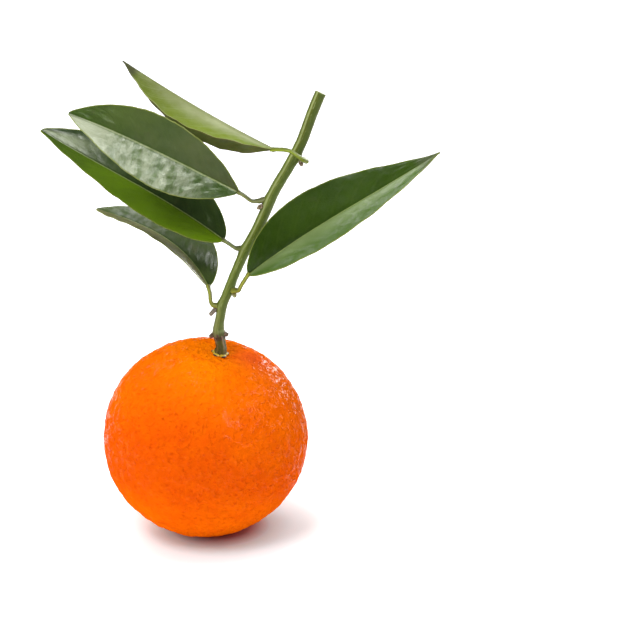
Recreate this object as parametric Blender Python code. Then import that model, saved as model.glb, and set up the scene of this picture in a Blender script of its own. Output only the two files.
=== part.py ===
"""A fresh mandarin as picked: the fruit with its calyx, fruit stalk, cut twig and five leaves.

Units are metres, +Z is up. The origin is the middle of the small flat spot on which the fruit
rests. The fruit leans a little towards +X and -Y, and the twig rises from it towards +X.
"""
from dataclasses import dataclass
from math import asin, cos, exp, pi, radians, sin

import bmesh
import bpy
from mathutils import Matrix, Quaternion, Vector

MM = 0.001
GAP = 0.3 * MM                     # room kept between two pieces that touch

# The fruit: a slightly flattened ball with a shallow dimple around the stalk.
FRUIT_RADIUS = 33.0 * MM
FRUIT_HALF_HEIGHT = 32.2 * MM
FRUIT_CENTRE = Vector((0.0, 0.0, 31.1 * MM))    # its lowest cap, 1.1 mm deep, is the resting spot
STALK_DIRECTION = Vector((5.5, -3.5, 30.1)).normalized()
DIMPLE_DEPTH = 2.2 * MM
DIMPLE_RADIUS = 9.0 * MM
LOBE_COUNT = 3
LOBE_HEIGHT = 0.006                # as a share of the fruit's radius
FRUIT_TURNS = 48
FRUIT_RINGS = 24

# The calyx: a thin five-lobed button that lies in the dimple.
CALYX_RADIUS = 2.9 * MM
CALYX_THICKNESS = 0.9 * MM
CALYX_LOBES = 5
CALYX_LOBE_DEPTH = 0.16
CALYX_TURNS = 30

# Round stems: radii of the twig, its node ring, the fruit stalk and the leaf stalks.
TWIG_RADIUS = 1.5 * MM
RING_RADIUS = 1.95 * MM
PEDUNCLE_RADIUS = 1.75 * MM
PETIOLE_RADIUS = 0.62 * MM
STEM_SIDES = 12
PETIOLE_SIDES = 8

TWIG_ROUTE = (                     # from the node ring up to the cut end, in millimetres
    (5.2, -3.3, 66.6), (5.0, -3.2, 68.5), (5.2, -3.1, 70.5), (5.8, -3.0, 73.6), (6.4, -2.7, 76.7),
    (7.6, -2.4, 79.7), (8.5, -2.0, 81.9), (10.6, -1.0, 87.0), (13.9, 0.2, 94.1), (17.3, 0.8, 100.2),
    (20.0, 1.2, 106.0), (23.4, 1.4, 113.0), (27.7, 1.5, 119.8), (30.4, 1.6, 126.0),
    (32.2, 1.7, 130.0), (34.8, 1.9, 137.2), (37.4, 2.2, 143.5),
)
RING_FADES_OVER = 3.5 * MM         # how far up the twig the node ring's swelling reaches

# The leaf cushions: where the twig swells towards each leaf stalk, in millimetres.
CUSHIONS = ((31.3, 0.9, 122.6), (19.9, 0.9, 109.8), (12.6, 0.0, 94.2), (4.9, -2.9, 76.5), (9.6, -3.1, 81.6))
CUSHION_HEIGHT = 0.5 * MM
CUSHION_REACH = 1.7 * MM

LEAF_THICKNESS = 0.5 * MM
LEAF_ROWS = 20
LEAF_COLUMNS = 4                   # cells in each half of the blade
LEAF_NARROWEST = 0.45 * MM         # half-width kept at the foot and the tip


@dataclass(frozen=True)
class LeafShape:
    """One leaf: its stalk's route, and how its blade points, bends, turns and folds.

    heading, rise and roll point the midrib's foot: heading is measured from +X about +Z. bend
    drops the midrib away from the upper face, sweep turns it sideways and twist rolls the
    blade, all in degrees over the blade's length. fold lifts both halves from flat, at the
    foot and at the tip.
    """

    stalk: tuple
    heading: float
    rise: float
    roll: float
    length: float
    half_width: float
    bend: tuple
    sweep: float
    twist: float
    fold: tuple
    widest_at: float
    roundness: float


LEAVES = (
    LeafShape(
        stalk=((32.6, -0.5, 122.9), (31.7, -2.3, 123.7), (30.0, -3.3, 125.1), (27.9, -3.9, 126.6),
               (24.8, -4.2, 127.1), (22.8, -4.0, 127.0)),
        heading=167, rise=24, roll=-151, length=54 * MM, half_width=12 * MM, bend=(9, 5), sweep=1,
        twist=-9, fold=(30, 48), widest_at=0.45, roundness=0.92),
    LeafShape(
        stalk=((19.2, 0.7, 109.9), (18.0, 0.0, 109.8), (16.0, -1.0, 110.1), (14.1, -2.2, 111.8),
               (12.3, -3.0, 113.2)),
        heading=201, rise=30, roll=-114, length=58 * MM, half_width=11 * MM, bend=(13, 22), sweep=-5,
        twist=58, fold=(22, 17), widest_at=0.5, roundness=0.81),
    LeafShape(
        stalk=((11.8, -0.1, 94.5), (10.6, -0.2, 94.7), (9.0, -0.4, 95.9), (7.3, -0.5, 97.1)),
        heading=160, rise=33, roll=-43, length=67 * MM, half_width=12.5 * MM, bend=(8, -43), sweep=-22,
        twist=30, fold=(20, 20), widest_at=0.45, roundness=0.61),
    LeafShape(
        stalk=((4.1, -3.0, 76.6), (3.3, -3.2, 77.0), (2.7, -2.8, 78.1), (2.5, -2.0, 80.2),
               (2.0, -1.0, 81.9)),
        heading=117, rise=36, roll=9, length=58.5 * MM, half_width=11.5 * MM, bend=(67, -9), sweep=-28,
        twist=-2, fold=(31, 14), widest_at=0.47, roundness=0.67),
    LeafShape(
        stalk=((10.4, -3.9, 81.8), (11.7, -5.2, 82.3), (12.4, -6.2, 83.8), (13.5, -7.0, 85.8),
               (14.8, -7.5, 87.9)),
        heading=0, rise=39, roll=52, length=70.5 * MM, half_width=12 * MM, bend=(30, -27), sweep=7,
        twist=-30, fold=(33, 4), widest_at=0.4, roundness=0.71),
)
STALK_FOOT_RADIUS = 1.0 * MM       # the swollen foot of a leaf stalk

# Buds in the axils of leaves 1, 2 and 5: number, middle and lie in millimetres, half-length, radius.
BUDS = (
    (1, (31.4, -0.5, 121.6), (0.3, 0.0, -1.0), 1.0 * MM, 0.7 * MM),
    (2, (18.5, -0.1, 107.9), (-0.8, -0.2, -0.5), 1.2 * MM, 0.7 * MM),
    (5, (10.4, -3.8, 80.0), (0.3, -0.3, -1.0), 0.9 * MM, 0.65 * MM),
)

DEAD_PEDICEL_ROUTE = ((4.1, -3.4, 74.9), (3.4, -3.8, 74.3), (2.4, -4.3, 73.4))
DEAD_PEDICEL_RADIUS = 0.42 * MM

SCALE_STUBS = (                    # side, route in millimetres, foot radius, end radius
    ("left", ((2.9, -3.6, 66.9), (1.7, -3.8, 66.2)), 0.65 * MM, 0.5 * MM),
    ("right", ((7.5, -3.6, 67.2), (8.5, -3.6, 66.8)), 0.6 * MM, 0.45 * MM),
)

PEEL = ("mandarin_peel", (0.90, 0.22, 0.01), 0.42)
CALYX_GREEN = ("calyx_green", (0.35, 0.36, 0.05), 0.6)
STALK_BROWN = ("stalk_brown", (0.09, 0.07, 0.03), 0.65)
TWIG_GREEN = ("twig_green", (0.13, 0.19, 0.04), 0.5)
PETIOLE_GREEN = ("petiole_green", (0.20, 0.24, 0.04), 0.5)
LEAF_GREEN = ("leaf_green", (0.05, 0.15, 0.02), 0.35)
DRY_BROWN = ("dry_brown", (0.14, 0.09, 0.05), 0.75)


def clear_scene() -> None:
    """Remove every object, so that a second run starts clean."""
    for thing in list(bpy.data.objects):
        bpy.data.objects.remove(thing, do_unlink=True)


def material(finish: tuple) -> bpy.types.Material:
    """Return the material of a finish (name, colour, roughness), made once."""
    name, colour, roughness = finish
    made = bpy.data.materials.get(name)
    if made is None:
        made = bpy.data.materials.new(name)
        made.use_nodes = True
        shader = made.node_tree.nodes["Principled BSDF"]
        shader.inputs["Base Color"].default_value = (*colour, 1.0)
        shader.inputs["Roughness"].default_value = roughness
    return made


def add_object(name: str, shape: bmesh.types.BMesh, finish: tuple) -> bpy.types.Object:
    """Turn a bmesh into a smooth-shaded object with its material."""
    bmesh.ops.recalc_face_normals(shape, faces=shape.faces)
    mesh = bpy.data.meshes.new(name)
    shape.to_mesh(mesh)
    shape.free()
    mesh.shade_smooth()
    mesh.set_sharp_from_angle(angle=radians(50))
    mesh.materials.append(material(finish))
    thing = bpy.data.objects.new(name, mesh)
    bpy.context.scene.collection.objects.link(thing)
    return thing


def bridge(shape: bmesh.types.BMesh, lower: list, upper: list) -> None:
    """Join two rings of vertices with a band of faces; a ring may be one pole vertex."""
    count = max(len(lower), len(upper))
    for turn in range(count):
        corners = [lower[turn % len(lower)], lower[(turn + 1) % len(lower)],
                   upper[(turn + 1) % len(upper)], upper[turn % len(upper)]]
        distinct = [v for place, v in enumerate(corners) if v not in corners[:place]]
        shape.faces.new(distinct)


def loft(rings: list) -> bmesh.types.BMesh:
    """Build a closed body through rings of points; its first and last ring are capped."""
    shape = bmesh.new()
    made = [[shape.verts.new(point) for point in ring] for ring in rings]
    for lower, upper in zip(made, made[1:]):
        bridge(shape, lower, upper)
    for end in (made[0], made[-1]):
        if len(end) > 2:
            shape.faces.new(end)
    return shape


# ---------------------------------------------------------------- fruit and calyx

def fruit_point(polar: float, turn: float) -> Vector:
    """Return a point of the peel about the fruit's centre, its stalk along +Z."""
    lobes = 1.0 + LOBE_HEIGHT * cos(LOBE_COUNT * turn) * sin(polar) ** 2
    radius = FRUIT_RADIUS * sin(polar) * lobes
    return Vector((radius * cos(turn), radius * sin(turn), peel_height(radius, cos(polar))))


def peel_height(radius: float, upness: float) -> float:
    """Return how high the peel stands over the centre, with the dimple on the stalk's side."""
    dimple = DIMPLE_DEPTH * exp(-(radius / DIMPLE_RADIUS) ** 2) if upness > 0 else 0.0
    return FRUIT_HALF_HEIGHT * upness - dimple


def dimple_height(radius: float) -> float:
    """Return the peel's height over the centre at a radius near the stalk."""
    return peel_height(radius, cos(asin(radius / FRUIT_RADIUS)))


def fruit_matrix() -> Matrix:
    """Return where the fruit stands: at its centre, with +Z leaning along the stalk."""
    return Matrix.Translation(FRUIT_CENTRE) @ Vector((0, 0, 1)).rotation_difference(
        STALK_DIRECTION).to_matrix().to_4x4()


def build_fruit() -> None:
    """Make the fruit in one solid, and cut its underside flat at floor level."""
    rings = [[fruit_point(0.0, 0.0)]]
    for ring in range(1, FRUIT_RINGS):
        polar = pi * ring / FRUIT_RINGS
        rings.append([fruit_point(polar, 2 * pi * turn / FRUIT_TURNS) for turn in range(FRUIT_TURNS)])
    rings.append([fruit_point(pi, 0.0)])
    shape = loft(rings)
    shape.transform(fruit_matrix())
    every = shape.verts[:] + shape.edges[:] + shape.faces[:]
    bmesh.ops.bisect_plane(shape, geom=every, dist=1e-7, plane_co=(0, 0, 0), plane_no=(0, 0, -1),
                           clear_outer=True)
    rim = [edge for edge in shape.edges if edge.is_boundary]
    bmesh.ops.contextual_create(shape, geom=rim)
    add_object("fruit", shape, PEEL)


def calyx_ring(share: float, lift: float) -> list:
    """Return one ring of the calyx at a share of its lobed outline, lift above the peel."""
    points = []
    for step in range(CALYX_TURNS):
        turn = 2 * pi * step / CALYX_TURNS
        outline = CALYX_RADIUS * (1.0 - CALYX_LOBE_DEPTH + CALYX_LOBE_DEPTH * cos(CALYX_LOBES * turn))
        radius = share * outline
        points.append(Vector((radius * cos(turn), radius * sin(turn), dimple_height(radius) + lift)))
    return points


def build_calyx() -> None:
    """Make the button: a lobed disc that follows the peel and thins out to its rim."""
    top = GAP + CALYX_THICKNESS
    rim = GAP + 0.35 * CALYX_THICKNESS
    rings = [calyx_ring(0.4, GAP), calyx_ring(1.0, GAP), calyx_ring(1.0, rim), calyx_ring(0.72, top),
             calyx_ring(0.4, top)]
    shape = loft(rings)
    shape.transform(fruit_matrix())
    add_object("calyx", shape, CALYX_GREEN)


# ---------------------------------------------------------------- stems

def smooth_route(route: tuple, steps: int) -> list:
    """Return points on one smooth curve through a route given in millimetres."""
    knots = [Vector(point) * MM for point in route]
    knots = [knots[0] * 2 - knots[1], *knots, knots[-1] * 2 - knots[-2]]
    points = []
    for before, start, end, after in zip(knots, knots[1:], knots[2:], knots[3:]):
        for step in range(steps):
            t = step / steps
            points.append(0.5 * (2 * start + (end - before) * t
                                 + (2 * before - 5 * start + 4 * end - after) * t ** 2
                                 + (3 * start - before - 3 * end + after) * t ** 3))
    points.append(knots[-2])
    return points


def ring_about(centre: Vector, along: Vector, radius: float, sides: int) -> list:
    """Return a ring of points about a centre, square to a direction."""
    level = Vector((0, 1, 0))
    across = (level - along * level.dot(along)).normalized()
    beside = along.cross(across)
    turns = (2 * pi * side / sides for side in range(sides))
    return [centre + radius * (cos(turn) * across + sin(turn) * beside) for turn in turns]


def stem_rings(points: list, radius_at, sides: int, foot_along: Vector = None) -> list:
    """Return the rings of a round stem whose radius is a function of the share of its length.

    foot_along squares the first ring to a direction other than the stem's own.
    """
    rings = []
    last = len(points) - 1
    for place, centre in enumerate(points):
        along = (points[min(place + 1, last)] - points[max(place - 1, 0)]).normalized()
        if place == 0 and foot_along is not None:
            along = foot_along
        rings.append(ring_about(centre, along, radius_at(place / last), sides))
    return rings


def swell(points: list, centre: Vector) -> list:
    """Push a ring's points outwards where they are near a leaf cushion."""
    pushed = []
    for point in points:
        rise = 0.0
        for cushion in CUSHIONS:
            away = (point - Vector(cushion) * MM).length
            rise += CUSHION_HEIGHT * exp(-(away / CUSHION_REACH) ** 2)
        pushed.append(point + (point - centre).normalized() * rise)
    return pushed


def build_twig() -> None:
    """Make the twig, wide at the node ring and swollen at each leaf cushion."""
    points = smooth_route(TWIG_ROUTE, 3)
    length = sum((b - a).length for a, b in zip(points, points[1:]))

    def radius_at(share: float) -> float:
        fade = exp(-(share * length / RING_FADES_OVER) ** 2)
        return TWIG_RADIUS + (RING_RADIUS - TWIG_RADIUS) * fade

    rings = stem_rings(points, radius_at, STEM_SIDES)
    rings = [swell(ring, centre) for ring, centre in zip(rings, points)]
    add_object("twig", loft(rings), TWIG_GREEN)


def build_peduncle() -> None:
    """Make the fruit stalk between the calyx and the node ring, flared at its foot."""
    foot = FRUIT_CENTRE + STALK_DIRECTION * (dimple_height(PEDUNCLE_RADIUS) + CALYX_THICKNESS + 2.4 * GAP)
    bend = foot + STALK_DIRECTION * 1.6 * MM
    ring = Vector(TWIG_ROUTE[0]) * MM
    head = ring - (Vector(TWIG_ROUTE[1]) * MM - ring).normalized() * GAP
    points = smooth_route((foot / MM, bend / MM, head / MM), 3)

    def radius_at(share: float) -> float:
        return PEDUNCLE_RADIUS * (1.0 + 0.1 * exp(-(share / 0.25) ** 2) + 0.06 * share)

    rings = stem_rings(points, radius_at, STEM_SIDES, STALK_DIRECTION)
    add_object("peduncle", loft(rings), STALK_BROWN)


def build_petiole(number: int, leaf: LeafShape) -> None:
    """Make a leaf stalk: a swollen foot, a slim middle and a slightly wider head."""
    points = smooth_route(leaf.stalk, 3)

    def radius_at(share: float) -> float:
        foot = (STALK_FOOT_RADIUS - PETIOLE_RADIUS) * exp(-(share / 0.25) ** 2)
        return PETIOLE_RADIUS + foot + 0.08 * MM * share

    add_object(f"petiole_{number}", loft(stem_rings(points, radius_at, PETIOLE_SIDES)), PETIOLE_GREEN)


def build_stub(name: str, route: tuple, foot: float, end: float) -> None:
    """Make a short tapered stub along a route."""
    points = smooth_route(route, 2)
    rings = stem_rings(points, lambda share: foot + (end - foot) * share, PETIOLE_SIDES)
    add_object(name, loft(rings), DRY_BROWN)


def build_bud(number: int, middle: tuple, lie: tuple, half_length: float, radius: float) -> None:
    """Make a bud: a small egg with its narrow end along its lie."""
    along = Vector(lie).normalized()
    centre = Vector(middle) * MM
    rings = [[centre - along * half_length]]
    for polar in (35, 65, 95, 125, 155):
        here = radians(polar)
        width = radius * sin(here) * (1.0 + 0.15 * cos(here))
        rings.append(ring_about(centre - along * half_length * cos(here), along, width, PETIOLE_SIDES))
    rings.append([centre + along * half_length])
    add_object(f"bud_{number}", loft(rings), DRY_BROWN)


# ---------------------------------------------------------------- leaf blades

def blade_half_width(leaf: LeafShape, share: float) -> float:
    """Return half the blade's width at a share of its length."""
    tip_power = leaf.roundness * (1 - leaf.widest_at) / leaf.widest_at
    share = min(max(share, 0.0), 1.0)
    outline = (share / leaf.widest_at) ** leaf.roundness * ((1 - share) / (1 - leaf.widest_at)) ** tip_power
    return max(leaf.half_width * outline, LEAF_NARROWEST)


def blade_rows(leaf: LeafShape) -> list:
    """Walk along the midrib and return each row's foot, its upper normal and its side axis."""
    heading, rise, roll = (radians(angle) for angle in (leaf.heading, leaf.rise, leaf.roll))
    along = Vector((cos(rise) * cos(heading), cos(rise) * sin(heading), sin(rise)))
    level = Vector((-sin(rise) * cos(heading), -sin(rise) * sin(heading), cos(rise)))
    normal = level * cos(roll) + along.cross(level) * sin(roll)
    foot = Vector(leaf.stalk[-1]) * MM + along * GAP
    rows = [(foot, normal, along.cross(normal))]
    for row in range(LEAF_ROWS):
        share = (row + 0.5) / LEAF_ROWS
        bend = radians(leaf.bend[0] * (1 - share) + leaf.bend[1] * share) / LEAF_ROWS
        side = along.cross(normal)
        turn = Quaternion(side, -bend) @ Quaternion(normal, -radians(leaf.sweep) / LEAF_ROWS)
        turn = turn @ Quaternion(along, radians(leaf.twist) / LEAF_ROWS)
        along, normal = (turn @ along).normalized(), (turn @ normal).normalized()
        foot = foot + along * leaf.length / LEAF_ROWS
        rows.append((foot, normal, along.cross(normal)))
    return rows


def build_leaf(number: int, leaf: LeafShape) -> None:
    """Make a leaf blade: a folded sheet of rows and columns, given its thickness."""
    shape = bmesh.new()
    lattice = []
    for row, (foot, normal, side) in enumerate(blade_rows(leaf)):
        share = row / LEAF_ROWS
        fold = radians(leaf.fold[0] * (1 - share) + leaf.fold[1] * share)
        reach = blade_half_width(leaf, share)
        line = []
        for column in range(-LEAF_COLUMNS, LEAF_COLUMNS + 1):
            out = reach * column / LEAF_COLUMNS
            line.append(shape.verts.new(foot + side * out * cos(fold) + normal * abs(out) * sin(fold)))
        lattice.append(line)
    for lower, upper in zip(lattice, lattice[1:]):
        for a, b, c, d in zip(lower, lower[1:], upper[1:], upper):
            shape.faces.new((a, b, c, d))
    blade = add_object(f"leaf_{number}", shape, LEAF_GREEN)
    skin = blade.modifiers.new("Thickness", "SOLIDIFY")
    skin.thickness = LEAF_THICKNESS
    skin.offset = 0.0


def build_mandarin() -> None:
    """Build every piece in order, from the fruit up to the cut end of the twig."""
    clear_scene()
    build_fruit()
    build_calyx()
    build_peduncle()
    build_twig()
    for side, route, foot, end in SCALE_STUBS:
        build_stub(f"scale_stub_{side}", route, foot, end)
    build_stub("dead_pedicel", DEAD_PEDICEL_ROUTE, 1.2 * DEAD_PEDICEL_RADIUS, DEAD_PEDICEL_RADIUS)
    for number, leaf in enumerate(LEAVES, start=1):
        build_petiole(number, leaf)
        build_leaf(number, leaf)
    for number, middle, lie, half_length, radius in BUDS:
        build_bud(number, middle, lie, half_length, radius)


build_mandarin()
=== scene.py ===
"""A fresh mandarin with its stalk, a cut twig and five leaves, dressed and lit for its portrait.

Units are metres and +Z is up. The fruit rests on the floor at the origin and leans a little
towards +X and -Y, and the twig rises from it towards +X.
"""
from __future__ import annotations

import logging
from collections.abc import Callable, Sequence
from dataclasses import dataclass, field
from enum import Enum
from math import asin, cos, exp, pi, radians, sin

import bmesh
import bpy
from mathutils import Matrix, Quaternion, Vector, noise


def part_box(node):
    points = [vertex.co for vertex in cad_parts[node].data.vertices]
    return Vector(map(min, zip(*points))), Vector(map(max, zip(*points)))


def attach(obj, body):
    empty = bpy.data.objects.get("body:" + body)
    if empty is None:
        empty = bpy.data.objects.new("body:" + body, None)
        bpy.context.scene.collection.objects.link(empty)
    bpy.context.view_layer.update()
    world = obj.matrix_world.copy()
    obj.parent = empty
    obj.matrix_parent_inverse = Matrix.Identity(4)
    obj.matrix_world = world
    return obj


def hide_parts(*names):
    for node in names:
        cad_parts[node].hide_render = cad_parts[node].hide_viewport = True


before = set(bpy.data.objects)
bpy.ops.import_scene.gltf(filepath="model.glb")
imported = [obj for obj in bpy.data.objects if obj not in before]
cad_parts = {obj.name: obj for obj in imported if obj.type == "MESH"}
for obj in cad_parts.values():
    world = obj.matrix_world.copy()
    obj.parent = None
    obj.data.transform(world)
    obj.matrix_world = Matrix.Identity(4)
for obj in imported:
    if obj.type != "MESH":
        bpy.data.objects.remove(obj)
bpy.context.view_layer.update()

LOG = logging.getLogger("mandarin")
MM = 0.001
GAP = 0.3 * MM
WAX_IOR = 1.45
VEIN_CURVE = 1.35
VEIN_STAGGER = 0.45

Colour = tuple[float, float, float]
Point = tuple[float, float, float]


class Slot(Enum):
    """The material slots of the part's record."""

    PEEL = "peel"
    CALYX = "calyx_green"
    STALK = "stalk_brown"
    TWIG = "twig_green"
    PETIOLE = "petiole_green"
    LEAF = "leaf_green"
    DRY = "dry_brown"


class Owner(Enum):
    """What a node tree belongs to, by its collection in the file."""

    MATERIAL = "materials"
    WORLD = "worlds"


class Face(Enum):
    """The two faces of a leaf blade, in the order of the blade's materials."""

    UPPER = 0
    UNDER = 1


# ---------------------------------------------------------------- shader bench

def operator(operation: str, swapped: bool = False) -> Callable[..., Wire]:
    """Return the method that puts a wire, and its partner if it has one, through a Math node.

    Args:
        operation: what the node does.
        swapped: whether the partner goes first.

    Returns:
        The method.
    """
    def apply(wire: Wire, *partner: Wire | float) -> Wire:
        """Return the wire of the worked-out value."""
        return wire.bench.maths(operation, *((*partner, wire) if swapped else (wire, *partner)))

    return apply


class Wire:
    """One shader socket that carries a value; the usual operators put it through Math nodes."""

    __add__ = __radd__ = operator("ADD")
    __mul__ = __rmul__ = operator("MULTIPLY")
    __sub__ = operator("SUBTRACT")
    __rsub__ = operator("SUBTRACT", swapped=True)
    __truediv__ = operator("DIVIDE")
    __rtruediv__ = operator("DIVIDE", swapped=True)
    __pow__ = operator("POWER")
    __rpow__ = operator("POWER", swapped=True)
    __abs__ = operator("ABSOLUTE")
    fraction = operator("FRACT")

    def __init__(self, bench: Bench, socket: bpy.types.NodeSocket) -> None:
        """Hold a socket and the bench that its node stands on."""
        self.bench = bench
        self.socket = socket

    def about(self, middle: Wire | float, spread: float) -> Wire:
        """Return a middle value that wavers by a spread, as this one does about a half."""
        return middle + (self - 0.5) * spread

    def step(self, start: float, end: float) -> Wire:
        """Return a soft step from 0 at start to 1 at end; end may be the lower one.

        Args:
            start: the value at which the step begins.
            end: the value at which the step is complete.

        Returns:
            The wire of the stepped value.
        """
        risen = self.bench.node(
            "ShaderNodeMapRange",
            {"interpolation_type": "SMOOTHSTEP"},
            {"Value": self, "From Min": min(start, end), "From Max": max(start, end)},
        )
        return risen if end > start else 1.0 - risen


class Bench:
    """The node tree of one material or world, with the few ways in which it is added to."""

    def __init__(self, name: str, owner: Owner = Owner.MATERIAL) -> None:
        """Start a new material or world with an empty tree.

        Args:
            name: the material's or world's name.
            owner: which of the two it is.
        """
        self.made = getattr(bpy.data, owner.value).new(name)
        self.made.use_nodes = True
        self.tree = self.made.node_tree
        self.tree.nodes.clear()
        self.out_kind = "ShaderNodeOutputMaterial" if owner is Owner.MATERIAL else "ShaderNodeOutputWorld"

    def node(self, kind: str, settings: dict | None = None, sockets: dict | None = None,
             out: int | str = 0) -> Wire:
        """Add one node: its settings go first, and then its sockets.

        Args:
            kind: the node's type.
            settings: the node's own properties by name; "stops" are a ramp's stops.
            sockets: values or wires by the input's name or place.
            out: the output that is wanted.

        Returns:
            The wire of that output, or of nothing where the node has none.
        """
        made = self.tree.nodes.new(kind)
        for name, value in (settings or {}).items():
            if name == "stops":
                self.set_stops(made.color_ramp, value)
            else:
                setattr(made, name, value)
        for key, value in (sockets or {}).items():
            self.feed(made.inputs[key], value)
        return Wire(self, made.outputs[out] if made.outputs else None)

    def feed(self, socket: bpy.types.NodeSocket, value: Wire | float | Sequence) -> None:
        """Link a wire to an input, or set the input to a plain number, colour or vector.

        Args:
            socket: the input.
            value: a wire, a number, a colour or a vector.
        """
        if isinstance(value, Wire):
            self.tree.links.new(value.socket, socket)
        elif socket.type == "RGBA":
            socket.default_value = (*value[:3], 1.0)
        else:
            socket.default_value = value

    @staticmethod
    def set_stops(ramp: bpy.types.ColorRamp, stops: Sequence) -> None:
        """Give a ramp its stops.

        Args:
            ramp: the ramp.
            stops: pairs of a position and a colour, lowest first.
        """
        while len(ramp.elements) < len(stops):
            ramp.elements.new(0.5)
        for element, (position, colour) in zip(ramp.elements, stops):
            element.position = position
            element.color = (*colour, 1.0)

    def maths(self, operation: str, *values: Wire | float) -> Wire:
        """Return the values put through one Math node."""
        return self.node("ShaderNodeMath", {"operation": operation}, dict(enumerate(values)))

    def ramp(self, share: Wire, *stops: tuple[float, Colour]) -> Wire:
        """Return the colour at a share of the way along some stops, lowest first."""
        return self.node("ShaderNodeValToRGB", {"stops": stops}, {"Fac": share})

    def layers(self, ground: Wire | Colour, *coats: tuple[Wire, Wire | Colour]) -> Wire:
        """Lay coats over a ground colour.

        Args:
            ground: the colour underneath.
            coats: pairs of a share that shows and a colour, lowest first.

        Returns:
            The wire of the mixed colour.
        """
        settings = {"data_type": "RGBA", "blend_type": "MIX", "clamp_factor": True}
        for share, colour in coats:
            ground = self.node("ShaderNodeMix", settings, {0: share, 6: ground, 7: colour}, 2)
        return ground

    def surface(self, colour: Wire, roughness: Wire | float, gloss: float, rest: dict) -> Wire:
        """Return a Principled surface.

        Args:
            colour: its colour.
            roughness: its roughness.
            gloss: its specular level.
            rest: its other sockets by name.

        Returns:
            The wire of the surface.
        """
        sockets = {"Base Color": colour, "Roughness": roughness, "Specular IOR Level": gloss, **rest}
        return self.node("ShaderNodeBsdfPrincipled", {}, sockets)

    def place(self) -> Wire:
        """Return the point on the piece, in metres."""
        return self.node("ShaderNodeTexCoord", out="Object")

    def value_of(self, name: str) -> Wire:
        """Return one of the per-point values that the piece's mesh carries."""
        return self.node("ShaderNodeAttribute", {"attribute_name": name}, out="Fac")

    def noise(self, where: Wire, size: float, detail: float = 2.0, roughness: float = 0.5) -> Wire:
        """Return soft mottling from 0 to 1, with patches of a size in the point's units."""
        sockets = {"Vector": where, "Scale": 1.0 / size, "Detail": detail, "Roughness": roughness}
        return self.node("ShaderNodeTexNoise", {}, sockets)

    def cells(self, where: Wire, size: float, feature: str = "F1") -> Wire:
        """Return the distance to the nearest cell's middle, or to its edge, in cells."""
        return self.node("ShaderNodeTexVoronoi", {"feature": feature},
                         {"Vector": where, "Scale": 1.0 / size}, "Distance")

    def relief(self, height: Wire, depth: float) -> Wire:
        """Return the normal of a relief that is a number of metres deep."""
        return self.node("ShaderNodeBump", {}, {"Height": height, "Distance": depth, "Strength": 1.0})

    def close(self, surface: Wire) -> bpy.types.ID:
        """Give the material or world its surface and return it."""
        self.node(self.out_kind, {}, {"Surface": surface})
        return self.made


# ---------------------------------------------------------------- finishes

@dataclass(frozen=True)
class PeelFinish:
    """Mandarin peel: orange with a darker dot at each oil gland, partly the gland's own tone and partly
    painted shade in its dimple, and wax on the pebbles between.
    """

    # collar, crown, waist and foot colour the peel from the stalk down, partly its own tone and partly
    # painted light: lighter and yellower at the collar and crown under the top light and at the foot where
    # the floor bounces light, darker at the waist.
    collar: Colour = (1.00, 0.220, 0.001)
    crown: Colour = (0.95, 0.168, 0.001)
    waist: Colour = (0.765, 0.090, 0.0015)
    foot: Colour = (0.94, 0.155, 0.001)
    blush: Colour = (0.86, 0.105, 0.014)
    flush: Colour = (0.72, 0.060, 0.001)
    # The pit colour is painted shade in the pebbles' hollows and in the creases round the stalk; the crest
    # colour is a painted highlight on the pebbles' tops.
    pit_painted_shade: Colour = (0.62, 0.052, 0.001)
    crest: Colour = (0.96, 0.170, 0.002)
    gland: Colour = (0.72, 0.056, 0.002)
    gland_cell: float = 1.5 * MM
    depth: float = 0.80 * MM
    wax_roughness: float = 0.13
    wax_coat_ior: float = 1.11

    def make(self) -> bpy.types.Material:
        """Build the peel's material.

        Returns:
            The material.
        """
        bench = Bench("mandarin_peel")
        place = bench.place()
        down = bench.value_of("down")
        blush = bench.value_of("blush")
        broad = bench.noise(place, 22 * MM)
        mottle = bench.noise(place, 4.0 * MM, 3.0, 0.55)
        pebble = bench.noise(place, 2.0 * MM, 3.0)
        grain = bench.noise(place, 0.6 * MM)
        gland = bench.cells(place, self.gland_cell).step(0.44, 0.10)
        calm = 0.25 + 0.75 * down.step(0.06, 0.34)
        colour = bench.layers(
            # Painted light down the peel: lighter at the top and the foot, darker at the waist.
            bench.ramp(broad.about(down, 0.40), (0.04, self.collar), (0.14, self.crown), (0.45, self.waist),
                       (0.54, self.waist), (0.78, self.foot)),
            (mottle.step(0.50, 0.80) * 0.45, self.flush),
            (mottle.step(0.46, 0.22) * 0.30, self.crown),
            (blush * 0.90, self.blush),
            # Painted shade in the pebbles' hollows, a painted highlight on their tops and painted shade in
            # the creases round the stalk.
            (pebble.step(0.52, 0.25) * calm * 0.18, self.pit_painted_shade),
            (pebble.step(0.52, 0.78) * calm * 0.30, self.crest),
            (bench.value_of("crease") * 0.55, self.pit_painted_shade),
            # Darker gland dots: partly the glands' own tone, partly painted shade in their dimples.
            (gland * broad * calm * 0.48, self.gland),
        )
        height = pebble.step(0.28, 0.72) * 0.55 + grain * 0.22 - gland * 0.28
        film = grain.about(pebble, 1.2) + (mottle - 0.5) * 0.5 + blush * 0.05
        wax = film.step(0.50, 0.68) * (0.05 + 0.95 * down.step(0.64, 0.48))
        return bench.close(bench.surface(colour, mottle.about(0.42, 0.2), 0.0, {
            "IOR": WAX_IOR,
            "Coat Weight": wax * 0.95,
            "Coat Roughness": self.wax_roughness,
            "Coat IOR": self.wax_coat_ior,
            "Normal": bench.relief(height, self.depth),
        }))


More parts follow.
